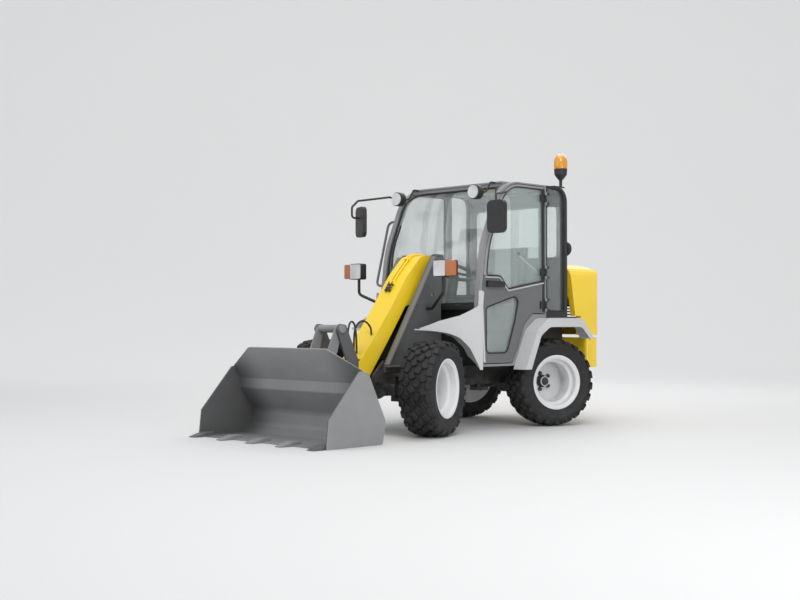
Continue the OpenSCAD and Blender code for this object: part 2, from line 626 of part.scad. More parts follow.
// The windscreen's curved profile, d behind the pillars' front edge
screen_z = 990;
screen_top_z = roof_z - 45;
screen_inset = 24;
screen_half = cab_in - skin_gap;
function screen_line(d, r) = [[cab_front[0] - d, screen_z - 10], [pillar_bend[0] - d, pillar_bend[1], 900 - r],
  concat(pillar(roof_z - d, d), 300 - r), [pillar_bend[0] - 400, roof_z - d]];

module windscreen() color(clear) intersection() {
  plate(-screen_half, 2 * screen_half)
    polygon(rounded(concat(screen_line(screen_inset, 14), reversed(screen_line(screen_inset + glass_t, 20))), 10));
  wall(-600, 600) polygon(rounded([[-screen_half, screen_z, 20], [screen_half, screen_z, 20], [screen_half, screen_top_z, 110],
    [-screen_half, screen_top_z, 110]]));
}

module cab_front_wall() color(black) {
  wall(-124, 22) translate([-cab_in, 512 + floor_t]) square([2 * cab_in, 960 - 512 - floor_t]);
  translate([-124, -cab_in, 952]) cube([86, 2 * cab_in, screen_z - skin_gap - 952]);
}

rear_half = cab_in - 40;
rear_pane_outline = [[-rear_half, 1400, 40], [rear_half, 1400, 40], [rear_half, 1840, 50], [-rear_half, 1840, 50]];

module rear_pane() wall(cab_back_x + 14 + skin_gap, glass_t) offset_pane(rear_pane_outline, 12 - skin_gap);

module cab_rear_wall() color(mid_grey) {
  rear_panel();
  hood_arms();
}

module rear_panel() {
  difference() {
    wall(cab_back_x, wall_t) translate([-cab_in, platform_z + floor_t]) square([2 * cab_in, roof_z - 118 - platform_z - floor_t]);
    wall(cab_back_x - 1, wall_t + 2) polygon(rounded(rear_pane_outline));
    wall(cab_back_x + 14, glass_t + 2 * skin_gap) offset_pane(rear_pane_outline, 12);
  }
  plate(-cab_in, 2 * cab_in) polygon(rounded([[cab_back_x, roof_z - 119], [cab_back_x, roof_z - roof_t, 104],
    [cab_back_x + 130, roof_z - roof_t], [cab_back_x + 130, roof_z - roof_t - 16], [cab_back_x + 16, roof_z - roof_t - 16, 88],
    [cab_back_x + 16, roof_z - 119]]));
}

// The arms on the cab's rear wall that carry the hood's hinge pins
module hood_arms() both_sides() {
  plate(hood_pin_y + 40, 14) polygon(rounded([[cab_back_x + 1, hood_hinge[1] - 50], [cab_back_x + 1, hood_hinge[1] + 16],
    hood_hinge + [0, 14], [hood_hinge[0] - 14, hood_hinge[1], 8], hood_hinge + [0, -12], hood_hinge + [30, -12]]));
  cross_bar(hood_hinge, hood_pin_r, hood_pin_y - 2, hood_pin_y + 41);
}

roof_front_x = pillar(roof_z, 0)[0] - 57;

module cab_roof() color(mid_grey) {
  slab(roof_z - roof_t, roof_t) polygon([[roof_front_x, -cab_in], [roof_front_x, cab_in], [cab_back_x + 66, cab_in],
    [cab_back_x + 66, -cab_in]]);
  translate([roof_front_x - 60, -cab_in, screen_top_z + 3]) cube([48, 2 * cab_in, roof_z - roof_t - screen_top_z - 2]);
}

floor_top = [[-124, 512], [arch_foot[0] + 14, 512, 20], [arch_knee[0] + 16, arch_knee[1], 90], [arch_top[0], platform_z, 60],
  [cab_back_x, platform_z]];

module cab_floor() color(black) {
  plate(-cab_in, 2 * cab_in) polygon(rounded(concat(floor_top,
    [for (p = reversed(floor_top)) [p[0], p[1] + floor_t, len(p) > 2 ? p[2] : 0]])));
  plate(-rail_out, 2 * rail_out) polygon([[-160, rail_z], [-440, rail_z], [-440, 513], [-160, 513]]);
}

// Place a share f of the way from the cab's rear wall to its front wall
function in_cab(f) = cab_back_x + f * cab_len;

module seat_base() color(black) translate([in_cab(0.2), -210, platform_z + floor_t]) cube([0.316 * cab_len, 420, 70]);

module operator_seat() color(black) {
  z0 = platform_z + floor_t + 70;
  plate(-235, 470) polygon(rounded([[in_cab(0.6), z0, 20], [in_cab(0.6), z0 + 95, 40], [in_cab(0.2), z0 + 80, 20],
    [in_cab(0.153), z0 + 520, 30], [in_cab(0.0765), z0 + 520, 30], [in_cab(0.105), z0 + 60, 40], [in_cab(0.125), z0, 20]]));
}

module steering_column() color(black) {
  translate([-200, 0, 534]) cylinder(r = 64, h = 26);
  bar([-203, 0, 548], [-360, 0, 1235], 42);
  translate([-368, 0, 1268]) rotate([0, -22, 0]) {
    rotate_extrude() translate([steering_wheel_d / 2 - 15, 0]) circle(r = 15, $fn = 24);
    translate([0, 0, -46]) cylinder(r = 34, h = 40);
    for (k = [0:2]) rotate([0, 0, 120 * k]) translate([0, -16, -14]) cube([steering_wheel_d / 2 - 20, 32, 12]);
  }
}

// Door

module door_frame() color(mid_grey) difference() {
  plate(cab_in, wall_t) polygon(rounded(door_outline));
  plate(cab_in - 1, wall_t + 2) polygon(rounded(door_pane));
  plate(cab_in - 1, wall_t + 2) polygon(rounded(door_low_pane));
  glass_seat(door_pane, cab_y - 18);
  glass_seat(door_low_pane, cab_y - 18);
}

module door_glass() color(clear) {
  pane(door_pane, cab_y - 18);
  pane(door_low_pane, cab_y - 18);
}

module door_fittings() color(black) {
  for (z = hinge_heights) difference() {
    union() {
      translate([hinge_x, hinge_y, z - hinge_half]) cylinder(r = hinge_r, h = 2 * hinge_half);
      translate([hinge_x + 6, cab_y, z - hinge_half]) cube([60, 10, 2 * hinge_half]);
    }
    translate([hinge_x, hinge_y, z - hinge_half - 1]) cylinder(r = hinge_pin_r + run_fit, h = 2 * hinge_half + 2);
  }
  translate([hinge_x + 8, cab_y, door_heel_z + 12]) cube([24, 3, door_top_z - door_heel_z - 24]);
  plate(cab_y, 26) polygon(rounded([[-330, 1132, 12], [-330, 1176, 12], [-124, 1182, 12], [-124, 1128, 12]]));
}

// Bodywork

// Plan line of a front fender's outer panel: its rear end at the cab's corner, and its front tip
fender_rear = [-46, cab_y + 37];
fender_tip = [430, cab_y - 165];
fender_way = unit(fender_tip - fender_rear);
fender_low = [[442, 792], [366, 788, 60], [289, 780, 120], [212, 765, 120], [134, 733, 120], [56, 655, 120], [-7, 530, 60],
  [-25, 483]];
fender_high = [[-46, 483], [-46, 1100, 6], [-16, 1098, 6], [-11, 978, 16], [55, 941, 40], [134, 904, 40], [289, 864, 30],
  [366, 834, 30], [442, 808]];

// A side outline laid along the panel's plan line, and the same outline raised by d for the sheet's upper face
function along_fender(p) = [for (q = p) concat([(q[0] - fender_rear[0]) / fender_way[0]], [for (i = [1:len(q) - 1]) q[i]])];
function raised(p, d) = [for (q = p) concat([q[0] - d / 2, q[1] + d], len(q) > 2 ? [q[2]] : [])];

module front_fenders() color(light_grey) both_sides() {
  translate([fender_rear[0], fender_rear[1], 0]) rotate([0, 0, atan2(fender_way[1], fender_way[0])])
    plate(-fender_t, fender_t) polygon(rounded(along_fender(concat(fender_low, fender_high))));
  intersection() {
    translate([fender_rear[0], fender_rear[1], 0]) rotate([0, 0, atan2(fender_way[1], fender_way[0])])
      plate(-front_fender_w, front_fender_w - 1)
      polygon(rounded(along_fender(concat(fender_low, reversed(raised(fender_low, fender_t))))));
    slab(400, 500) translate([cab_front[0] + 8, 0]) square([700, 900]);
  }
  plate(cab_y + skin_gap, 34) polygon([cab_front + [-15, 105], cab_front - [2, 0], cab_foot + [0, 35],
    cab_foot + [-20, 35], cab_front - [22, 0], cab_front + [-35, 105]]);
}

module rear_fenders() color(light_grey) both_sides() {
  x = rear_axle_x;
  outer = [[x + 545, 475], [x + 390, 790, 90], [x + 250, 887, 120], [x - 215, 887, 120], [x - 357, 723]];
  plate(cab_y + skin_gap, rear_fender_w - fender_t - skin_gap) polygon(rounded(concat(outer,
    [[x - 347, 715], [x - 210, 875, 108], [x + 245, 875, 108], [x + 376, 782, 80], [x + 531, 475]])));
  plate(cab_y + rear_fender_w - fender_t, fender_t) polygon(rounded(concat(outer,
    [[x - 330, 700], [x - 200, 813, 100], [x + 230, 813, 100], [x + 345, 745, 80], [x + 470, 475]])));
}

counterweight_plan = [[tail_x, rail_out + 17], [tail_x, hood_half - 30, 40], [tail_x - 150, hood_half - 20, 60],
  [tail_x - 230, 300, 160], [tail_x - 260, 150], [tail_x - 260, -150], [tail_x - 230, -300, 160], [tail_x - 150, -hood_half + 20, 60],
  [tail_x, -hood_half + 30, 40], [tail_x, -rail_out - 17], [rail_end_x, -rail_out - 17], [rail_end_x, rail_out + 17]];

module counterweight() color(yellow) difference() {
  slab(460, 258) polygon(rounded(counterweight_plan));
  translate([tail_x - 370, -90, 520]) cube([190, 180, 90]);
  translate([tail_x - 220, 0, 440]) cylinder(r = tow_bore_r, h = 300);
}

hood_front_x = hood_hinge[0] + 18;
hood_tail_x = tail_x - 270;
hood_plan = [[hood_front_x + 44, -hood_half], [tail_x - 130, -hood_half, 110], [hood_tail_x, 190 - hood_half, 130],
  [hood_tail_x, hood_half - 190, 130], [tail_x - 130, hood_half, 110], [hood_front_x + 44, hood_half]];
hood_side = [[hood_front_x, hood_top_z - 4], [tail_x + 50, hood_top_z, 300], [tail_x - 170, 1290, 140], [hood_tail_x, 1110, 160],
  [hood_tail_x, 880], [hood_tail_x + 25, hood_foot], [tail_x + 130, hood_foot], [tail_x + 130, 905], [hood_front_x - 78, 905]];

module hood_form(d) intersection() {
  slab(hood_foot - 10, 700) polygon(grown(rounded(hood_plan), -d));
  plate(-cab_y, 2 * cab_y) polygon(grown(rounded(hood_side), -d));
  wall(hood_tail_x - 100, 800) polygon(rounded([[-hood_half + d, 600], [hood_half - d, 600], [hood_half - d, hood_top_z - d, 120],
    [-hood_half + d, hood_top_z - d, 120]]));
}

module engine_hood() color(yellow) difference() {
  union() {
    difference() {
      hood_form(0);
      hood_form(hood_t);
      translate([tail_x - 170, -hood_half + 50, 600]) cube([500, 2 * hood_half - 100, 470]);
      wall(hood_tail_x - 60, 200) polygon(rounded(grille_outline));
    }
    both_sides() {
      cross_bar(hood_hinge, 12, hood_pin_y, hood_pin_y + 36);
      translate([hood_hinge[0] - 10, hood_pin_y, hood_top_z - 14]) cube([20, 36, hood_hinge[1] - hood_top_z + 14]);
    }
  }
  both_sides() cross_bar(hood_hinge, hood_pin_r + run_fit, hood_pin_y - 3, hood_pin_y + 37);
}

grille_outline = [[-270, 800, 30], [270, 800, 30], [270, 1010, 30], [-270, 1010, 30]];

module hood_grille() color(black) difference() {
  wall(hood_tail_x + 4, 14) polygon(grown(rounded(grille_outline), -skin_gap));
  for (z = [822:26:980]) translate([hood_tail_x - 10, -245, z]) cube([60, 490, 14]);
}

// Lamps, mirrors and rails

lamp_x = 320;
lamp_y = 470;
lamp_z = 1265;

module headlamps() color(black) both_sides() {
  wall(lamp_x - 60, 60) translate([lamp_y, lamp_z]) lamp_face(headlamp_size, headlamp_size, 16);
  wall(lamp_x - 60, 9) translate([lamp_y + headlamp_size / 2 + indicator_w / 2, lamp_z])
    lamp_face(indicator_w + 12, headlamp_size - 8, 12);
  swept(bent([[lamp_x - 40, lamp_y, lamp_z - headlamp_size / 2 + 2], [lamp_x - 40, lamp_y, 1080], [150, tower_out + 60, 960],
    [150, tower_out + skin_gap, 960]], 40), 12);
}

// A lamp's face: a rectangle w wide and h high with rounded corners
module lamp_face(w, h, r) polygon(rounded([[-w / 2, -h / 2, r], [w / 2, -h / 2, r], [w / 2, h / 2, r], [-w / 2, h / 2, r]]));

module lamp_lenses() color("white") {
  both_sides() wall(lamp_x, 8) translate([lamp_y, lamp_z]) lamp_face(headlamp_size - 12, headlamp_size - 12, 12);
  both_sides() translate([work_lamp_x, work_lamp_y, work_lamp_z]) rotate([0, 90, 0]) cylinder(r = work_lamp_r - 6, h = 8);
}

indicator_w = 62;

module indicators() color(amber) both_sides()
  wall(lamp_x - 51, 58) translate([lamp_y + headlamp_size / 2 + indicator_w / 2 + 0.5, lamp_z])
    lamp_face(indicator_w, headlamp_size - 12, 14);

work_lamp_x = -112;
work_lamp_y = cab_in - 78;
work_lamp_z = 1885;

module work_lamps() color(black) both_sides() {
  translate([work_lamp_x - 60, work_lamp_y, work_lamp_z]) rotate([0, 90, 0]) cylinder(r = work_lamp_r, h = 60);
  swept(bent([[work_lamp_x - 59, work_lamp_y, work_lamp_z], [work_lamp_x - 150, work_lamp_y, work_lamp_z + 10],
    [work_lamp_x - 208, work_lamp_y, roof_z - roof_t / 2], [roof_front_x + skin_gap, work_lamp_y, roof_z - roof_t / 2]], 20), 8);
}

module tail_lamps() color(red) both_sides()
  translate([tail_x - 272, 100, 640]) cube([12, 45, 60]);

mirror_w = 176;
mirror_h = 256;
mirror_t = 36;
mirror_turn = -22;

module mirrors() color(black) {
  wall(-100, mirror_t) translate([cab_y + 150, 1671]) lamp_face(mirror_w, mirror_h, 45);
  swept(bent([[-82, cab_y + 140, 1780], [-95, cab_y + 130, 1850], [-325, cab_y + 50, 1888],
    [-325, cab_y + skin_gap, 1888]], 25), 9);
  translate([20, -cab_y - 172, 1700]) rotate([0, 0, mirror_turn]) wall(-mirror_t / 2, mirror_t)
    lamp_face(mirror_w, mirror_h, 45);
  swept(bent([[-325, -cab_y - skin_gap, 1880], [-325, -cab_y - 40, 1880], [-215, -cab_y - 60, 1922],
    [45, -cab_y - 185, 1880], [96, -cab_y - 205, 1826], [96, -cab_y - 205, 1735], [14, -cab_y - 190, 1735]], 25), 9);
}

module grab_rail() color(dark_grey)
  swept(bent([[-240, -cab_y - skin_gap, 1708], [-240, -cab_y - 100, 1708], [-92, -cab_y - 100, 1160],
    [-92, -cab_y - skin_gap, 1160]], 45), 11);

beacon_x = cab_back_x + 40;
beacon_y = cab_y - 36;
stem_h = 76;
cup_h = 84;

module beacon_base() color(black) {
  slab(roof_z, 8) polygon(rounded([[beacon_x - 30, beacon_y - 30, 20], [beacon_x - 30, beacon_y + 30, 20],
    [cab_back_x + 170, beacon_y + 30], [cab_back_x + 170, beacon_y - 30]]));
  translate([beacon_x, beacon_y, roof_z]) rotate_extrude()
    polygon([[0, 0], [13, 0], [13, stem_h - 14], [26, stem_h], [beacon_r - 6, stem_h + 34], [beacon_r - 2, stem_h + cup_h],
      [0, stem_h + cup_h]]);
}

module beacon_dome() color(amber) translate([beacon_x, beacon_y, roof_z + stem_h + cup_h]) rotate_extrude()
  polygon([[0, 0], [beacon_r - 4, 0], [beacon_r, 22], [beacon_r - 1, 66], [beacon_r - 8, 92], [beacon_r - 24, 114],
    [beacon_r - 42, 125], [0, 125]]);

chassis_frame();
boom_tower();
engine_block();
front_axle();
rear_axle();
drive_shaft();
cab_floor();
cab_side_left();
cab_side_right();
cab_front_wall();
cab_rear_wall();
cab_roof();
windscreen();
cab_glass();
operator_seat();
seat_base();
steering_column();
front_fenders();
rear_fenders();
counterweight();
headlamps();
lamp_lenses();
indicators();
work_lamps();
tail_lamps();
mirrors();
grab_rail();
beacon_base();
beacon_dome();
door_frame();
door_glass();
door_fittings();
engine_hood();
hood_grille();
boom();
boom_pipes();
hitch_pin();
hitch_frame();
bucket_shell();
bucket_teeth();
lift_barrel();
lift_rod();
tilt_barrel();
tilt_rod();
knuckle_fl();
knuckle_fr();
knuckle_rl();
knuckle_rr();
rim_fl();
rim_fr();
rim_rl();
rim_rr();
tyre_fl();
tyre_fr();
tyre_rl();
tyre_rr();
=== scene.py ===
import math

import bmesh
import bpy
from mathutils import Matrix, Vector


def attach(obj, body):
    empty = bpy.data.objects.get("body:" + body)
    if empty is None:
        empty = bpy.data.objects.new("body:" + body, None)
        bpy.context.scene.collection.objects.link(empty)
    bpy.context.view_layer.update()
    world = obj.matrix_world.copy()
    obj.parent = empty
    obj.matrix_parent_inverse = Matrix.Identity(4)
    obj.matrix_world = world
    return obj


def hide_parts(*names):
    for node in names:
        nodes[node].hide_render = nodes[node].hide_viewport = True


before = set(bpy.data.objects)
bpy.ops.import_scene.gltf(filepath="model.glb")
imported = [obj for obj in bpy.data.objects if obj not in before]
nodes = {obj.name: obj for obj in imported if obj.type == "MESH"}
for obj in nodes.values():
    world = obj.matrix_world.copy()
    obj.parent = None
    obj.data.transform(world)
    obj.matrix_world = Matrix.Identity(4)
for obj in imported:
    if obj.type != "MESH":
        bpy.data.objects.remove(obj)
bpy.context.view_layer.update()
scene = bpy.context.scene


# Camera
# It stands where the photo's camera stood, found from the wheels, the bucket and the cab.
eye = Vector((7.122, 6.822, 0.868))
ahead = Vector((-0.7082, -0.7058, 0.0166)).normalized()
right = ahead.cross(Vector((0, 0, 1))).normalized()
above = right.cross(ahead)
camera_data = bpy.data.cameras.new("camera")
camera_data.lens = 54.95
camera_data.sensor_width = 36.0
camera_data.sensor_fit = "HORIZONTAL"
camera = bpy.data.objects.new("camera", camera_data)
turned = Matrix((right, above, -ahead)).transposed().to_4x4()
turned.translation = eye
camera.matrix_world = turned
scene.collection.objects.link(camera)
scene.camera = camera


# Floor and light
# A pale studio floor that curves up into the backdrop and glows a little at its far end, lit by large
# soft lamps.
floor_grey = (0.68, 0.68, 0.68, 1)
floor_half = 30.0
floor_front = 22.0
cove_start = -9.0
cove_radius = 6.0
cove_steps = 24
wall_top = 24.0
far_glow = 0.24
glow_reach = 11.0
glow_way = (-0.7071, -0.7071, 0.0)
profile = [(floor_front, 0.0), (cove_start, 0.0)]
for step in range(1, cove_steps + 1):
    angle = math.pi / 2 * step / cove_steps
    profile.append((cove_start - cove_radius * math.sin(angle), cove_radius * (1 - math.cos(angle))))
profile.append((cove_start - cove_radius, wall_top))
facing = Matrix.Rotation(math.radians(45), 3, "Z")
points = []
for reach, height in profile:
    for side in (-floor_half, floor_half):
        points.append(facing @ Vector((reach, side, height)))
strips = [(2 * k, 2 * k + 1, 2 * k + 3, 2 * k + 2) for k in range(len(profile) - 1)]
floor_mesh = bpy.data.meshes.new("floor")
floor_mesh.from_pydata(points, [], strips)
floor_mesh.polygons.foreach_set("use_smooth", [True] * len(strips))
floor = bpy.data.objects.new("floor", floor_mesh)
scene.collection.objects.link(floor)
floor_paint = bpy.data.materials.new("floor")
floor_paint.use_nodes = True
floor_tree = floor_paint.node_tree
floor_shader = floor_tree.nodes["Principled BSDF"]
floor_shader.inputs["Base Color"].default_value = floor_grey
floor_shader.inputs["Roughness"].default_value = 0.75
floor_shader.inputs["Emission Strength"].default_value = 1.0
floor_spot = floor_tree.nodes.new("ShaderNodeTexCoord").outputs["Object"]
floor_reach = floor_tree.nodes.new("ShaderNodeVectorMath")
floor_reach.operation = "DOT_PRODUCT"
floor_reach.inputs[1].default_value = glow_way
floor_tree.links.new(floor_spot, floor_reach.inputs[0])
floor_fade = floor_tree.nodes.new("ShaderNodeMapRange")
floor_fade.interpolation_type = "SMOOTHSTEP"
for socket, value in ((1, 0.0), (2, glow_reach), (3, 0.0), (4, far_glow)):
    floor_fade.inputs[socket].default_value = value
floor_tree.links.new(floor_reach.outputs["Value"], floor_fade.inputs["Value"])
floor_tree.links.new(floor_fade.outputs[0], floor_shader.inputs["Emission Color"])
floor_mesh.materials.append(floor_paint)

world = bpy.data.worlds.new("studio")
world.use_nodes = True
sky = world.node_tree.nodes["Background"]
sky.inputs["Color"].default_value = (0.97, 0.98, 1.0, 1)
sky.inputs["Strength"].default_value = 0.62
scene.world = world
scene.view_settings.view_transform = "Standard"
lit_point = Vector((0, 0, 0.8))
for name, place, size, watts in (
    ("key_light", (4.5, 5.5, 6.5), 4.0, 255),
    ("side_light", (2.5, 7.5, 1.3), 3.0, 85),
    ("fill_light", (6.5, -3.5, 4.0), 5.0, 60),
    ("back_light", (-5.5, -1.5, 6.0), 5.0, 150),
    ("top_light", (0.0, 0.0, 7.5), 5.0, 150),
):
    lamp_data = bpy.data.lights.new(name, "AREA")
    lamp_data.size = size
    lamp_data.energy = watts
    lamp = bpy.data.objects.new(name, lamp_data)
    lamp.location = place
    lamp.rotation_euler = (lit_point - Vector(place)).to_track_quat("-Z", "Y").to_euler()
    scene.collection.objects.link(lamp)


# Frame, axles, shaft and engine
# Welded steel plate and castings in satin black, bolted together under the cab, with dust that the wheels
# throw on the lower parts.
def put(tree, kind, inputs=None, **settings):
    made = tree.nodes.new("ShaderNode" + kind)
    for key, value in settings.items():
        setattr(made, key, value)
    for key, value in (inputs or {}).items():
        if isinstance(value, bpy.types.NodeSocket):
            tree.links.new(value, made.inputs[key])
        else:
            made.inputs[key].default_value = value
    return made


def new_group(name, inputs, outputs):
    tree = bpy.data.node_groups.new(name, "ShaderNodeTree")
    for socket, kind, value in inputs:
        made = tree.interface.new_socket(socket, in_out="INPUT", socket_type="NodeSocket" + kind)
        made.default_value = value
    for socket, kind in outputs:
        tree.interface.new_socket(socket, in_out="OUTPUT", socket_type="NodeSocket" + kind)
    return tree, tree.nodes.new("NodeGroupInput"), tree.nodes.new("NodeGroupOutput")


grey_dust = (0.34, 0.32, 0.29, 1)
dust_height = 0.85
rough_spread = 0.12
bump_depth = 0.002
marks, given, out = new_group(
    "surface_marks",
    [("Color", "Color", (0.5, 0.5, 0.5, 1)), ("Dust", "Float", 0.2), ("Mottle", "Float", 0.1),
     ("Roughness", "Float", 0.4), ("Rough Spread", "Float", rough_spread), ("Grain", "Float", 60.0)],
    [("Color", "Color"), ("Roughness", "Float"), ("Height", "Float")],
)
wanted = given.outputs
spot = put(marks, "TexCoord").outputs["Object"]
broad = put(marks, "TexNoise", {"Vector": spot, "Scale": 3.2, "Detail": 6.0, "Roughness": 0.62})
fine = put(marks, "TexNoise", {"Vector": spot, "Scale": wanted["Grain"], "Detail": 3.0, "Roughness": 0.5})
shade = put(marks, "MapRange", {"Value": broad.outputs[0], 1: 0.3, 2: 0.7, 3: -0.5, 4: 0.5})
shade = put(marks, "Math", {0: shade.outputs[0], 1: wanted["Mottle"]}, operation="MULTIPLY")
shade = put(marks, "Math", {0: shade.outputs[0], 1: 1.0}, operation="ADD")
toned = put(marks, "VectorMath", {0: wanted["Color"], 3: shade.outputs[0]}, operation="SCALE")
height = put(marks, "SeparateXYZ", {0: spot}).outputs["Z"]
low = put(marks, "MapRange", {"Value": height, 1: 0.0, 2: dust_height, 3: 1.0, 4: 0.0},
          interpolation_type="SMOOTHSTEP")
patch = put(marks, "TexNoise", {"Vector": spot, "Scale": 7.0, "Detail": 8.0, "Roughness": 0.7})
patch = put(marks, "MapRange", {"Value": patch.outputs[0], 1: 0.42, 2: 0.72, 3: 0.0, 4: 1.0})
dirt = put(marks, "Math", {0: low.outputs[0], 1: patch.outputs[0]}, operation="MULTIPLY")
dirt = put(marks, "Math", {0: dirt.outputs[0], 1: wanted["Dust"]}, operation="MULTIPLY", use_clamp=True)
dusted = put(marks, "Mix", {"Factor": dirt.outputs[0], 6: toned.outputs[0], 7: grey_dust}, data_type="RGBA")
rough = put(marks, "Math", {0: patch.outputs[0], 1: wanted["Rough Spread"]}, operation="MULTIPLY")
rough = put(marks, "Math", {0: rough.outputs[0], 1: wanted["Roughness"]}, operation="ADD", use_clamp=True)
marks.links.new(dusted.outputs[2], out.inputs["Color"])
marks.links.new(rough.outputs[0], out.inputs["Roughness"])
marks.links.new(fine.outputs[0], out.inputs["Height"])


def surface(name, color, roughness, dust=0.2, mottle=0.1, grain=60.0, bump=0.05, **fixed):
    made = bpy.data.materials.new(name)
    made.use_nodes = True
    tree = made.node_tree
    shader = tree.nodes["Principled BSDF"]
    marked = tree.nodes.new("ShaderNodeGroup")
    marked.node_tree = marks
    for key, value in (("Color", (*color, 1)), ("Dust", dust), ("Mottle", mottle), ("Roughness", roughness),
                       ("Rough Spread", rough_spread), ("Grain", grain)):
        marked.inputs[key].default_value = value
    tree.links.new(marked.outputs["Color"], shader.inputs["Base Color"])
    tree.links.new(marked.outputs["Roughness"], shader.inputs["Roughness"])
    bumped = put(tree, "Bump", {"Strength": bump, "Distance": bump_depth, "Height": marked.outputs["Height"]})
    tree.links.new(bumped.outputs["Normal"], shader.inputs["Normal"])
    for key, value in fixed.items():
        shader.inputs[key.replace("_", " ").title()].default_value = value
    return made


weld_reach = 0.00005
sharp_angle = 0.6


def dress(material, *names, bevel=0.0):
    for name in names:
        piece = nodes[name]
        piece.data.materials.clear()
        piece.data.materials.append(material)
        if bevel:
            weld = piece.modifiers.new("weld", "WELD")
            weld.merge_threshold = weld_reach
            edge = piece.modifiers.new("edge", "BEVEL")
            edge.width = bevel
            edge.segments = 2
            edge.limit_method = "ANGLE"
            edge.angle_limit = sharp_angle
            edge.harden_normals = True


corners = ("fl", "fr", "rl", "rr")
frame_black = surface("frame_black", (0.028, 0.028, 0.030), 0.42, dust=0.5, mottle=0.4, grain=90, bump=0.08)
dress(frame_black, "chassis_frame", "front_axle", "rear_axle", "drive_shaft", "engine_block", bevel=0.002)
dress(frame_black, *["knuckle_" + corner for corner in corners], bevel=0.002)


# Tower
# Two plates of folded steel that carry the boom, painted dark grey and welded to the frame rails; the folded
# flange along the front edge is a lighter grey.
def position(tree, axis):
    return put(tree, "SeparateXYZ", {0: put(tree, "TexCoord").outputs["Object"]}).outputs[axis]


def overpaint(material, mask, color):
    tree = material.node_tree
    base = tree.nodes["Principled BSDF"].inputs["Base Color"]
    first = base.links[0].from_socket
    mixed = put(tree, "Mix", {"Factor": mask, 6: first, 7: (*color, 1)}, data_type="RGBA")
    tree.links.new(mixed.outputs[2], base)


flange_start = 0.1765
flange_grey = (0.175, 0.178, 0.18)
plate_grey = (0.116, 0.118, 0.120)
tower_grey = surface("tower_grey", plate_grey, 0.40, dust=0.25, mottle=0.12, grain=140)
tree = tower_grey.node_tree
from_middle = put(tree, "Math", {0: position(tree, "Y")}, operation="ABSOLUTE").outputs[0]
flange = put(tree, "Math", {0: from_middle, 1: flange_start}, operation="GREATER_THAN").outputs[0]
overpaint(tower_grey, flange, flange_grey)
dress(tower_grey, "boom_tower", bevel=0.003)


# Cab shell
# Pressed and welded steel in mid grey, bolted to the frame, with lighter pillars, a black rear post, a
# moulded roof, and black trim below the windscreen.
wall_grey = (0.142, 0.144, 0.147)
cab_grey = surface("cab_grey", wall_grey, 0.36, dust=0.15, mottle=0.08, grain=150, bump=0.04)
dress(cab_grey, "cab_rear_wall", "grab_rail", bevel=0.004)
post_start = -0.884
post_black = (0.020, 0.020, 0.021)
pillar_grey = surface("pillar_grey", (0.26, 0.263, 0.267), 0.34, dust=0.10, mottle=0.06, grain=150, bump=0.04)
tree = pillar_grey.node_tree
rear_post = put(tree, "Math", {0: position(tree, "X"), 1: post_start}, operation="LESS_THAN").outputs[0]
overpaint(pillar_grey, rear_post, post_black)
dress(pillar_grey, "cab_side_left", "cab_side_right", bevel=0.004)
roof_grey = surface("roof_grey", (0.24, 0.245, 0.25), 0.42, dust=0.0, mottle=0.08, grain=200, bump=0.08)
dress(roof_grey, "cab_roof", bevel=0.016)
trim_black = surface("trim_black", (0.020, 0.020, 0.021), 0.48, dust=0.1, mottle=0.2, grain=420, bump=0.15)
dress(trim_black, "cab_front_wall", "cab_floor", "steering_column", "seat_base", bevel=0.003)


# Operator's seat
# Two foam pads under black woven cloth: the base lies on the seat box and the back leans behind it. The
# outlines are side views in metres, and the foam swells the cloth by a few millimetres.
seat_cloth = surface("seat_cloth", (0.022, 0.022, 0.024), 0.82, dust=0.0, mottle=0.25, grain=520, bump=0.5)
seat_half = 0.222
pad_outlines = {
    "seat_pad": [(-0.556, 1.008), (-0.556, 1.076), (-0.955, 1.064), (-1.024, 1.062), (-1.024, 1.008)],
    "seat_back": [(-0.978, 1.082), (-1.022, 1.500), (-1.076, 1.500), (-1.050, 1.082)],
}
pad_round = 0.020
swell_cap = 0.009
cloth_steps = 20


def baked(piece):
    return bpy.data.meshes.new_from_object(piece.evaluated_get(bpy.context.evaluated_depsgraph_get()))


for name, outline in pad_outlines.items():
    foam = bmesh.new()
    left_row = [foam.verts.new((x, seat_half, z)) for x, z in outline]
    right_row = [foam.verts.new((x, -seat_half, z)) for x, z in outline]
    foam.faces.new(left_row)
    foam.faces.new(list(reversed(right_row)))
    for k in range(len(outline)):
        j = (k + 1) % len(outline)
        foam.faces.new((left_row[k], right_row[k], right_row[j], left_row[j]))
    bmesh.ops.recalc_face_normals(foam, faces=foam.faces)
    bmesh.ops.bevel(foam, geom=foam.edges[:], offset=pad_round, segments=4, profile=0.6, affect="EDGES")
    mesh = bpy.data.meshes.new(name)
    foam.to_mesh(mesh)
    foam.free()
    pad = bpy.data.objects.new(name, mesh)
    scene.collection.objects.link(pad)
    remesh = pad.modifiers.new("remesh", "REMESH")
    remesh.mode = "VOXEL"
    remesh.voxel_size = 0.006
    remade = baked(pad)
    pad.modifiers.clear()
    pad.data = remade
    cloth = pad.modifiers.new("cloth", "CLOTH")
    cloth.settings.use_pressure = True
    cloth.settings.uniform_pressure_force = 4.0
    cloth.settings.effector_weights.gravity = 0.0
    for step in range(1, cloth_steps + 1):
        scene.frame_set(step)
    swollen = baked(pad)
    pad.modifiers.clear()
    for moved, first in zip(swollen.vertices, remade.vertices):
        shift = moved.co - first.co
        if shift.length > swell_cap:
            moved.co = first.co + shift * (swell_cap / shift.length)
    pad.data = swollen
    scene.frame_set(1)
    pad.modifiers.new("round", "SUBSURF").levels = 1
    pad.data.materials.clear()
    pad.data.materials.append(seat_cloth)
    pad.data.polygons.foreach_set("use_smooth", [True] * len(pad.data.polygons))
    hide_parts("operator_seat")
    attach(pad, "chassis")


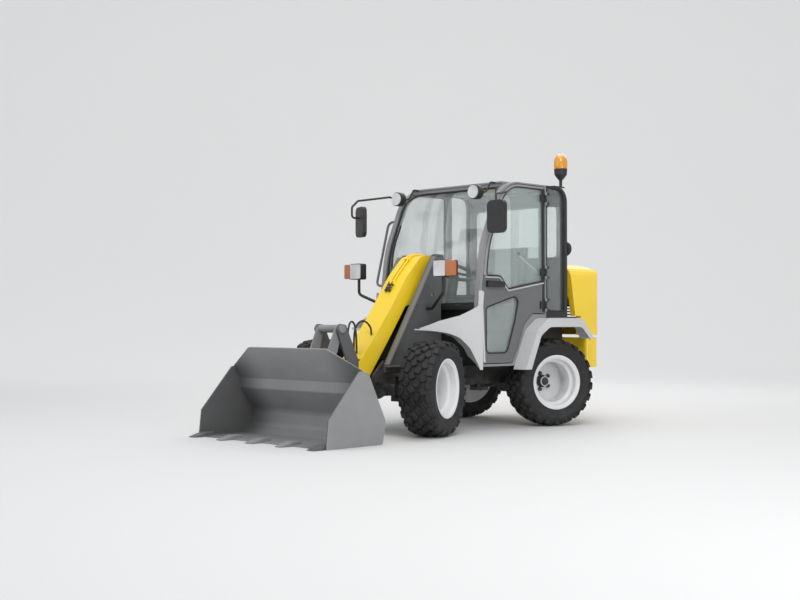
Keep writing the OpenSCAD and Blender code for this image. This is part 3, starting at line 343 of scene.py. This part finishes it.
# Windows
# Panes of green-tinted safety glass set in rubber: the windscreen is curved and the others are flat. The
# door's panes have a fainter view through them.
def glazing(name, color, alpha, clear):
    made = bpy.data.materials.new(name)
    made.use_nodes = True
    tree = made.node_tree
    shader = tree.nodes["Principled BSDF"]
    spot = put(tree, "TexCoord").outputs["Object"]
    film = put(tree, "TexNoise", {"Vector": spot, "Scale": 5.0, "Detail": 5.0}).outputs[0]
    rough = put(tree, "MapRange", {"Value": film, 1: 0.35, 2: 0.75, 3: 0.01, 4: 0.05})
    deeper = [c * 0.94 for c in color]
    tint = put(tree, "Mix", {"Factor": film, 6: (*color, 1), 7: (*deeper, 1)}, data_type="RGBA")
    tree.links.new(tint.outputs[2], shader.inputs["Base Color"])
    tree.links.new(rough.outputs[0], shader.inputs["Roughness"])
    shader.inputs["Transmission Weight"].default_value = clear
    shader.inputs["Alpha"].default_value = alpha
    shader.inputs["IOR"].default_value = 1.45
    return made


glass_green = (0.80, 0.93, 0.90)
window_glass = glazing("window_glass", glass_green, 0.28, 0.90)
dress(window_glass, "windscreen", "cab_glass")
door_pane = glazing("door_pane", glass_green, 0.50, 0.65)
dress(door_pane, "door_glass")


# Window seals
# Black rubber profiles pressed round each pane; the door's two panes have their own and swing with it.
# Outlines are in millimetres, seen from the side, with a corner's radius as its third number.
def rounded(points, steps=6):
    made = []
    count = len(points)
    for k, item in enumerate(points):
        here = Vector(item[:2])
        back = (Vector(points[k - 1][:2]) - here).normalized()
        forth = (Vector(points[(k + 1) % count][:2]) - here).normalized()
        radius = item[2] if len(item) > 2 else 0
        half = math.acos(max(-1, min(1, back.dot(forth)))) / 2
        if radius <= 0 or half > math.radians(89.5):
            made.append(here)
            continue
        middle = here + (back + forth).normalized() * radius / math.sin(half)
        first = here + back * radius / math.tan(half) - middle
        sweep = math.pi - 2 * half
        if back.x * forth.y - back.y * forth.x > 0:
            sweep = -sweep
        for step in range(steps + 1):
            made.append(middle + Matrix.Rotation(sweep * step / steps, 2) @ first)
    return made


def tube(name, path, radius, closed, material, body):
    data = bpy.data.curves.new(name, "CURVE")
    data.dimensions = "3D"
    data.bevel_depth = radius
    data.bevel_resolution = 3
    data.use_fill_caps = not closed
    spline = data.splines.new("POLY")
    spline.points.add(len(path) - 1)
    for point, place in zip(spline.points, path):
        point.co = (*place, 1)
    spline.use_cyclic_u = closed
    data.materials.append(material)
    piece = bpy.data.objects.new(name, data)
    scene.collection.objects.link(piece)
    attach(piece, body)
    return piece


seal_black = surface("seal_black", (0.012, 0.012, 0.013), 0.55, dust=0.05, mottle=0.2, grain=300, bump=0.1)
seal_radius = 0.0055
cab_y = 0.550
roof = 1985
hinge = -866
heel = 925
back = -1170
pane_top = roof - 39
pillar_foot = (-88, 1450)
pillar_lean = 0.43


def pillar(height, behind):
    return pillar_foot[0] - (height - pillar_foot[1]) * pillar_lean - behind


quarter = [(hinge - 24, roof - 18, 10), (hinge - 24, heel + 21, 15), (back + 42, heel + 21, 15),
           (back + 42, roof - 18, 85)]
front_edge = [(-160, 1450, 830), (pillar(pane_top, 72), pane_top, 245), (hinge + 34, pane_top, 18)]
door_high = [(-132, 1222, 25), *front_edge, (hinge + 34, 1190, 20), (-545, 1146), (-399, 1120, 15),
             (-300, 1222, 60)]
door_low = [(-128, 610, 40), (-126, 968, 40), (-535, 1075, 45), (-478, 860, 60), (-380, 610, 60)]
right_side = [(-112, 1050, 40), *front_edge, (hinge + 34, 1000, 40), (-500, 1000, 60)]
for name, outline, y, body in (
    ("seal_quarter_left", quarter, cab_y, "chassis"),
    ("seal_quarter_right", quarter, -cab_y, "chassis"),
    ("seal_side_right", right_side, -cab_y, "chassis"),
    ("seal_door_high", door_high, cab_y, "door"),
    ("seal_door_low", door_low, cab_y, "door"),
):
    path = [(q.x / 1000, y, q.y / 1000) for q in rounded(outline)]
    tube(name, path, seal_radius, True, seal_black, body)
rear_window = [(-468, 1400, 40), (468, 1400, 40), (468, 1840, 50), (-468, 1840, 50)]
path = [(back / 1000, q.x / 1000, q.y / 1000) for q in rounded(rear_window)]
tube("seal_rear", path, seal_radius, True, seal_black, "chassis")
screen_head = roof - 24
screen_corners = [(-55, 970), (-112, 1450, 886), (pillar(screen_head, 24), screen_head, 286),
                  (-488, screen_head)]
screen_line = rounded(screen_corners, 12)


def on_screen(y, height, proud):
    for low, high in zip(screen_line, screen_line[1:]):
        if low.y <= height * 1000 <= high.y:
            break
    up = (high - low).normalized()
    place = low + up * (height * 1000 - low.y) / up.y
    return ((place.x + up.y * proud * 1000) / 1000, y, (place.y - up.x * proud * 1000) / 1000)


screen_half = 0.499
screen_foot = 0.999
screen_top = 1.932
screen_edge = rounded([(-screen_half, screen_foot, 0.012), (screen_half, screen_foot, 0.012),
                       (screen_half, screen_top, 0.102), (-screen_half, screen_top, 0.102)], 10)
screen_pitch = 0.05
screen_path = []
for a, b in zip(screen_edge, screen_edge[1:] + screen_edge[:1]):
    steps = max(1, math.ceil((b - a).length / screen_pitch))
    screen_path += [a.lerp(b, k / steps) for k in range(steps)]
screen_seal_proud = 0.003
screen_seal_radius = 0.008
path = [on_screen(q.x, q.y, screen_seal_proud) for q in screen_path]
tube("seal_screen", path, screen_seal_radius, True, seal_black, "chassis")


# Wiper
# A pressed steel arm with a rubber blade, held by a spindle under the windscreen and parked along its right
# edge. Each stop is a place across and up the screen, and how far it stands off the glass.
wiper_stops = {
    "wiper_arm": [(-0.385, 1.002, 0.014), (-0.400, 1.050, 0.032), (-0.452, 1.420, 0.028)],
    "wiper_blade": [(-0.444, 1.200, 0.012), (-0.452, 1.330, 0.016), (-0.455, 1.420, 0.018),
                    (-0.456, 1.520, 0.016), (-0.456, 1.660, 0.012)],
}
wiper_radius = {"wiper_arm": 0.006, "wiper_blade": 0.008}
for name, stops in wiper_stops.items():
    path = [on_screen(*stop) for stop in stops]
    tube(name, path, wiper_radius[name], False, seal_black, "chassis")


# Door
# A framed steel door as thick as the cab wall, lighter round its upper pane and hung on three black hinges
# at its rear edge, with a light grey tube as painted highlight under that pane, and a stay with a ball grip
# inside it.
window_frame_z = 1.224
window_frame_grey = (0.30, 0.303, 0.307)
door_grey = surface("door_grey", wall_grey, 0.36, dust=0.15, mottle=0.08, grain=150, bump=0.04)
tree = door_grey.node_tree
upper = put(tree, "Math", {0: position(tree, "Z"), 1: window_frame_z}, operation="GREATER_THAN").outputs[0]
overpaint(door_grey, upper, window_frame_grey)
dress(door_grey, "door_frame", bevel=0.004)
dress(trim_black, "door_fittings", bevel=0.003)
# Painted highlight: the sill tube is a light grey line along the lower edge of the upper pane, standing for
# the glass edge's highlight; the stay rod shares this grey.
sill_highlight_and_stay_grey = surface("sill_highlight_and_stay_grey", (0.52, 0.53, 0.54), 0.32, dust=0.0, mottle=0.05, grain=120, bump=0.03)
bar_radius = 0.006
sill_proud = 0.002
sill = [(-116, 1206), (-296, 1206, 60), (-398, 1104, 15), (hinge + 20, 1174)]
path = [(q.x / 1000, cab_y + sill_proud, q.y / 1000) for q in rounded(sill)]
tube("door_sill_highlight", path, bar_radius, False, sill_highlight_and_stay_grey, "door")
stay_front = Vector((-0.551, 0.512, 1.406))
stay_rear = Vector((-0.846, 0.512, 1.242))
path = [stay_front, stay_front.lerp(stay_rear, 0.5), stay_rear]
tube("door_stay", path, bar_radius, False, sill_highlight_and_stay_grey, "door")


turned_sharp = 0.7


def lathe(name, profile, place, way, material, body, sides=28):
    turned = bmesh.new()
    turns = [math.tau * k / sides for k in range(sides)]
    rings = []
    for radius, reach in profile:
        rings.append([turned.verts.new((radius * math.cos(a), radius * math.sin(a), reach)) for a in turns])
    for a, b in zip(rings, rings[1:]):
        for k in range(sides):
            turned.faces.new((a[k], a[(k + 1) % sides], b[(k + 1) % sides], b[k]))
    turned.faces.new(list(reversed(rings[0])))
    turned.faces.new(rings[-1])
    bmesh.ops.recalc_face_normals(turned, faces=turned.faces)
    mesh = bpy.data.meshes.new(name)
    turned.to_mesh(mesh)
    turned.free()
    mesh.transform(Matrix.Translation(place) @ Vector(way).to_track_quat("Z", "Y").to_matrix().to_4x4())
    mesh.polygons.foreach_set("use_smooth", [True] * len(mesh.polygons))
    mesh.set_sharp_from_angle(angle=turned_sharp)
    mesh.materials.append(material)
    piece = bpy.data.objects.new(name, mesh)
    scene.collection.objects.link(piece)
    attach(piece, body)


ball_radius = 0.024
ball = [(0.009, -0.022), (0.010, -0.018)]
for degrees in range(30, 175, 12):
    turn = math.radians(degrees)
    ball.append((ball_radius * math.sin(turn), -ball_radius * math.cos(turn)))
lathe("door_stay_ball", ball, stay_front, stay_front - stay_rear, trim_black, "door")


# Fenders
# Moulded light-grey plastic with a fine grain, bolted to the cab's corners.
fender_grey = surface("fender_grey", (0.57, 0.575, 0.575), 0.40, dust=0.12, mottle=0.04, grain=300, bump=0.06)
dress(fender_grey, "front_fenders", "rear_fenders", bevel=0.004)


# Hood and counterweight
# A moulded hood on hinges behind the cab and a cast weight bolted to the frame, both in gloss yellow paint
# with a clear coat; the grille is black.
body_yellow = surface("body_yellow", (0.95, 0.66, 0.022), 0.30, dust=0.10, mottle=0.05, grain=160, bump=0.03,
                      coat_weight=0.5, coat_roughness=0.08)
dress(body_yellow, "counterweight", "engine_hood", bevel=0.010)
dress(trim_black, "hood_grille", bevel=0.001)


# Boom
# A welded steel channel in the same yellow, pinned to the tower, with two pipes clipped along its top that
# have dark couplings near their upper end.
dress(body_yellow, "boom", bevel=0.004)
dress(body_yellow, "boom_pipes")
coupling_black = surface("coupling_black", (0.03, 0.03, 0.031), 0.4, dust=0.05, mottle=0.2, grain=300,
                         bump=0.1)
run_start = Vector((0.307, 1.212))
run_end = Vector((0.495, 0.946))
run_way = (run_end - run_start).normalized()
run_out = Vector((-run_way.y, run_way.x))
pipe_lift = 0.0128
nut = [(0.0095, -0.004), (0.0122, -0.002), (0.0122, 0.014), (0.0105, 0.016), (0.0105, 0.021), (0.0125, 0.023),
       (0.0125, 0.038), (0.0095, 0.040)]
for side, y in (("left", 0.002), ("right", -0.034)):
    for part, share in (("upper", 0.20), ("lower", 0.34)):
        spot = run_start.lerp(run_end, share) + run_out * pipe_lift
        lathe("pipe_nut_" + part + "_" + side, nut, (spot.x, y, spot.y), (run_way.x, 0, run_way.y),
              coupling_black, "boom", sides=6)


# Hoses at the boom's end
# Two rubber hoses that come out of the boom's end, rise in loops and turn back onto the boom, clear of the
# bucket's cross tube when it is rolled back.
hose_radius = 0.0075
hose_steps = 6
hose_black = surface("hose_black", (0.016, 0.016, 0.017), 0.5, dust=0.05, mottle=0.2, grain=700, bump=0.3)
hose_routes = {
    "hose_short": [
        (0.786, -0.024, 0.578), (0.818, -0.024, 0.562), (0.843, -0.018, 0.584), (0.850, 0.000, 0.640),
        (0.848, 0.010, 0.730), (0.840, 0.008, 0.800), (0.820, 0.004, 0.846), (0.792, 0.000, 0.857),
        (0.768, 0.000, 0.832), (0.760, 0.006, 0.780), (0.762, 0.014, 0.712), (0.764, 0.020, 0.616),
    ],
    "hose_long": [
        (0.786, 0.040, 0.578), (0.805, 0.041, 0.568), (0.820, 0.044, 0.590), (0.820, 0.048, 0.640),
        (0.820, 0.050, 0.720), (0.812, 0.050, 0.790), (0.785, 0.050, 0.838), (0.737, 0.050, 0.862),
        (0.685, 0.050, 0.849), (0.650, 0.054, 0.808), (0.648, 0.060, 0.758),
    ],
}


def smooth(stops, steps):
    made = []
    last = len(stops) - 1
    for k in range(last):
        a, b, c, d = (Vector(stops[max(0, min(last, i))]) for i in (k - 1, k, k + 1, k + 2))
        bend = 2 * a - 5 * b + 4 * c - d
        swing = 3 * b - a - 3 * c + d
        for step in range(steps):
            t = step / steps
            made.append(0.5 * (2 * b + (c - a) * t + bend * t * t + swing * t ** 3))
    made.append(Vector(stops[-1]))
    return made


for name, stops in hose_routes.items():
    path = smooth(stops, hose_steps)
    hose = tube(name, path, hose_radius, False, hose_black, "boom")


# Cylinders and pins
# Black welded barrels with ground and chromed rods that slide in them, and a bright hitch pin.
dress(frame_black, "lift_barrel", "tilt_barrel", bevel=0.002)
bright_steel = surface("bright_steel", (0.62, 0.63, 0.64), 0.18, dust=0.0, mottle=0.06, grain=300, bump=0.03,
                       metallic=1.0)
dress(bright_steel, "lift_rod", "tilt_rod", "hitch_pin")


# Hitch and bucket
# Welded plate in grey paint; the hitch hangs on the boom's pin and carries the bucket, whose inner faces
# are darkened towards its inner corners by painted shade.
hitch_grey = surface("hitch_grey", plate_grey, 0.40, dust=0.2, mottle=0.12, grain=140)
dress(hitch_grey, "hitch_frame", bevel=0.004)
bucket_half = 0.720
outer_skin = 0.004
# Painted shade: the bucket's inner faces darken from 0.36 m out from its middle towards its side plates,
# where shade falls in the hollow.
shade_start = 0.36
shade_end = 0.70
shade_most = 0.75
inner_shade_grey = (0.060, 0.060, 0.061)
bucket_grey = surface("bucket_grey", (0.245, 0.250, 0.255), 0.42, dust=0.25, mottle=0.18, grain=45, bump=0.06)
tree = bucket_grey.node_tree
from_middle = put(tree, "Math", {0: position(tree, "Y")}, operation="ABSOLUTE").outputs[0]
shade_ramp = put(tree, "MapRange", {"Value": from_middle, 1: shade_start, 2: shade_end, 3: 0.0, 4: shade_most},
            interpolation_type="SMOOTHSTEP").outputs[0]
inside = put(tree, "Math", {0: from_middle, 1: bucket_half - outer_skin}, operation="LESS_THAN").outputs[0]
shaded_inside = put(tree, "Math", {0: shade_ramp, 1: inside}, operation="MULTIPLY").outputs[0]
overpaint(bucket_grey, shaded_inside, inner_shade_grey)
dress(bucket_grey, "bucket_shell", "bucket_teeth", bevel=0.003)


# Wheels
# Pressed steel rims in silver paint, bolted to the hubs, with tyres of black rubber seated on them. The tread
# is six rows of blocks, and lugs stand on both shoulders.
rim_silver = surface("rim_silver", (0.74, 0.745, 0.75), 0.36, dust=0.10, mottle=0.05, grain=120, bump=0.04)
dress(rim_silver, *["rim_" + corner for corner in corners], bevel=0.002)
tyre_rubber = surface("tyre_rubber", (0.008, 0.008, 0.009), 0.60, dust=0.10, mottle=0.3, grain=240, bump=0.25)
tyre_radius = 0.360
tyre_half = 0.140
rim_seat = 0.1975
crown_drop = 0.020
crown_curve = 2.6
tread_depth = 0.017
tread_margin = 0.002
blocks_round = 22
block_pitch = 2 * math.pi / blocks_round
block_edge = 0.004
foot_spread = 1.14
top_taper = 0.86
row_shift = 0.12
wheel_offset = 0.220
kingpin_y = 0.337
axle_height = 0.360
axle_x = {"f": 0.550, "r": -1.003}
rest_turn = {"f": math.radians(20), "r": math.radians(-20)}
rounds = 88
# The flank runs from the rim's seat to the tread, each point a radius and a distance from the middle plane.
flank = [(rim_seat + 0.001, 0.108), (0.224, 0.113), (0.229, 0.124), (0.236, 0.127), (0.243, 0.126),
         (0.262, 0.134), (0.284, 0.1375), (0.288, 0.1395), (0.293, 0.1395), (0.297, 0.1370), (0.312, 0.1340),
         (0.330, 0.1240), (0.339, 0.1080), (0.342, 0.0700), (0.3435, 0.0300)]
section = flank + [(r, -y) for r, y in reversed(flank)]
# Each row of blocks has its distance from the middle, a block's width and length, and its skew.
block_rows = [(-0.112, 0.040, 0.062, 0.10), (-0.067, 0.044, 0.056, 0.45), (-0.022, 0.042, 0.058, -0.40),
              (0.022, 0.042, 0.058, 0.40), (0.067, 0.044, 0.056, -0.45), (0.112, 0.040, 0.062, -0.10)]
cut = 0.36
block_outline = [(-0.5, -cut), (-cut, -0.5), (cut, -0.5), (0.5, -cut), (0.5, cut), (cut, 0.5), (-cut, 0.5),
                 (-0.5, cut)]
# A lug's outer face and root, each line a radius, a distance from the middle and half a width.
lug_face = [(0.312, 0.131, 0.014), (0.318, 0.1375, 0.020), (0.334, 0.1345, 0.020), (0.345, 0.1290, 0.020)]
lug_root = (0.316, 0.120, 0.022)


def on_wheel(radius, turn, y):
    return Vector((radius * math.cos(turn), y, radius * math.sin(turn)))


def crown(y):
    return tyre_radius - crown_drop * (abs(y) / tyre_half) ** crown_curve


def block(mesh, angle, y, wide, long, skew):
    top = crown(y)
    foot = top - tread_depth
    widest = tyre_half - tread_margin
    rings = []
    for radius, grow in ((foot, foot_spread), (top - block_edge, 1.0), (top, top_taper)):
        ring = []
        for a, b in block_outline:
            along = a * long * grow
            across = b * wide * grow
            turn = angle + (along * math.cos(skew) - across * math.sin(skew)) / tyre_radius
            reach = y + along * math.sin(skew) + across * math.cos(skew)
            reach = max(-widest, min(widest, reach))
            sink = crown(reach) - crown(y) if radius > foot else 0.0
            ring.append(mesh.verts.new(on_wheel(radius + sink, turn, reach)))
        rings.append(ring)
    for lower, upper in zip(rings, rings[1:]):
        for k in range(len(block_outline)):
            j = (k + 1) % len(block_outline)
            mesh.faces.new((lower[k], upper[k], upper[j], lower[j]))
    mesh.faces.new(list(reversed(rings[-1])))


def carcass(mesh):
    rings = []
    for k in range(rounds):
        turn = 2 * math.pi * k / rounds
        rings.append([mesh.verts.new(on_wheel(r, turn, y)) for r, y in section])
    for k in range(rounds):
        a, b = rings[k], rings[(k + 1) % rounds]
        for i in range(len(section)):
            j = (i + 1) % len(section)
            mesh.faces.new((a[i], a[j], b[j], b[i]))


def tread(mesh):
    for row, (y, wide, long, skew) in enumerate(block_rows):
        for k in range(blocks_round):
            angle = block_pitch * (k + 0.5 * (row % 2) + row_shift * math.sin(row))
            block(mesh, angle, y, wide, long, skew)


def lug(mesh, angle, side):
    rings = []
    for radius, y, half in (*lug_face, lug_root):
        rings.append([mesh.verts.new(on_wheel(radius, angle + d / radius, side * y)) for d in (-half, half)])
    face, root = rings[:-1], rings[-1]
    for a, b in zip(face, face[1:]):
        mesh.faces.new((a[0], a[1], b[1], b[0]))
    for e in (0, 1):
        mesh.faces.new((*[ring[e] for ring in face], root[e]))
    for ring in (face[0], face[-1]):
        mesh.faces.new((ring[0], ring[1], root[1], root[0]))


def wheel_place(corner):
    side = 1 if corner[1] == "l" else -1
    spin = Matrix.Rotation(rest_turn[corner[0]], 4, "Z")
    return side, Matrix.Translation((axle_x[corner[0]], side * kingpin_y, axle_height)) @ spin


rubber = bmesh.new()
carcass(rubber)
tread(rubber)
bmesh.ops.recalc_face_normals(rubber, faces=rubber.faces)
for side, shift in ((1, 0.5), (-1, 0.0)):
    for k in range(blocks_round):
        lug(rubber, block_pitch * (k + shift), side)
bmesh.ops.recalc_face_normals(rubber, faces=rubber.faces)
for corner in corners:
    side, place = wheel_place(corner)
    mesh = bpy.data.meshes.new("tread_" + corner)
    rubber.to_mesh(mesh)
    mesh.materials.append(tyre_rubber)
    mesh.transform(place @ Matrix.Translation((0, side * wheel_offset, 0)))
    mesh.polygons.foreach_set("use_smooth", [True] * len(mesh.polygons))
    mesh.set_sharp_from_angle(angle=sharp_angle)
    piece = bpy.data.objects.new("tread_" + corner, mesh)
    scene.collection.objects.link(piece)
    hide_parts("tyre_" + corner)
    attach(piece, "wheel_" + corner)
rubber.free()


# Hub caps and wheel nuts
# Black cast hub ends with five nuts that hold the rim, seen in the dish of each rim. Profiles are a radius
# and a distance outward from the tyre's middle plane.
hub_black = surface("hub_black", (0.022, 0.022, 0.023), 0.38, dust=0.3, mottle=0.3, grain=160, bump=0.1)
hub_sides = 36
hub_middle = -0.0580
hub_profile = [(0.020, -0.0582), (0.031, -0.0600), (0.0405, -0.0680), (0.0412, -0.1000), (0.0440, -0.1060),
               (0.0520, -0.1080), (0.0540, -0.1165)]
nut_count = 5
nut_circle = 0.070
nut_sides = 6
wheel_nut = [(0.0185, -0.1172), (0.0185, -0.1120), (0.0165, -0.1110), (0.0160, -0.0985), (0.0130, -0.0955)]
hub = bmesh.new()
tip = hub.verts.new((0, hub_middle, 0))
turns = [math.tau * k / hub_sides for k in range(hub_sides)]
rings = [[hub.verts.new(on_wheel(r, turn, y)) for turn in turns] for r, y in hub_profile]
for k in range(hub_sides):
    j = (k + 1) % hub_sides
    hub.faces.new((tip, rings[0][k], rings[0][j]))
    for a, b in zip(rings, rings[1:]):
        hub.faces.new((a[k], b[k], b[j], a[j]))
nut_turns = [math.tau * e / nut_sides for e in range(nut_sides)]
for k in range(nut_count):
    centre = on_wheel(nut_circle, math.tau * k / nut_count, 0)
    levels = []
    for r, y in wheel_nut:
        levels.append([hub.verts.new(centre + on_wheel(r, turn, y)) for turn in nut_turns])
    for a, b in zip(levels, levels[1:]):
        for e in range(nut_sides):
            f = (e + 1) % nut_sides
            hub.faces.new((a[e], a[f], b[f], b[e]))
    hub.faces.new(levels[-1])
bmesh.ops.recalc_face_normals(hub, faces=hub.faces)
for corner in corners:
    side, place = wheel_place(corner)
    mesh = bpy.data.meshes.new("hub_" + corner)
    hub.to_mesh(mesh)
    mesh.materials.append(hub_black)
    mesh.transform(place @ Matrix.Diagonal((1, side, 1, 1)) @ Matrix.Translation((0, wheel_offset, 0)))
    if side < 0:
        mesh.flip_normals()
    mesh.polygons.foreach_set("use_smooth", [True] * len(mesh.polygons))
    mesh.set_sharp_from_angle(angle=sharp_angle)
    piece = bpy.data.objects.new("hub_" + corner, mesh)
    scene.collection.objects.link(piece)
    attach(piece, "wheel_" + corner)
hub.free()


# Lamps, mirrors and beacon
# Black moulded housings on steel arms, with clear, amber and red lenses clipped into them, and a rubber
# catch on the rear wall that holds the open door.
dress(trim_black, "headlamps", "work_lamps", "mirrors", "beacon_base", bevel=0.006)
lamp_glass = surface("lamp_glass", (0.60, 0.61, 0.62), 0.10, dust=0.0, mottle=0.5, grain=70, bump=0.5,
                     coat_weight=1.0)
dress(lamp_glass, "lamp_lenses", bevel=0.003)
amber_lens = surface("amber_lens", (0.46, 0.13, 0.022), 0.18, dust=0.0, mottle=0.3, grain=120, bump=0.1,
                     coat_weight=1.0)
dress(amber_lens, "indicators", bevel=0.003)
beacon_amber = surface("beacon_amber", (0.72, 0.29, 0.010), 0.15, dust=0.0, mottle=0.3, grain=90, bump=0.1,
                       coat_weight=1.0)
dress(beacon_amber, "beacon_dome", bevel=0.003)
red_lens = surface("red_lens", (0.5, 0.012, 0.010), 0.15, dust=0.0, mottle=0.05, grain=120, bump=0.1,
                   coat_weight=1.0)
dress(red_lens, "tail_lamps", bevel=0.003)
catch = [(0.012, 0.0), (0.014, 0.030), (0.046, 0.036), (0.060, 0.046), (0.062, 0.064), (0.050, 0.074),
         (0.020, 0.076)]
lathe("door_catch", catch, (-1.169, 0.488, 1.475), (-1, 0, 0), trim_black, "chassis")
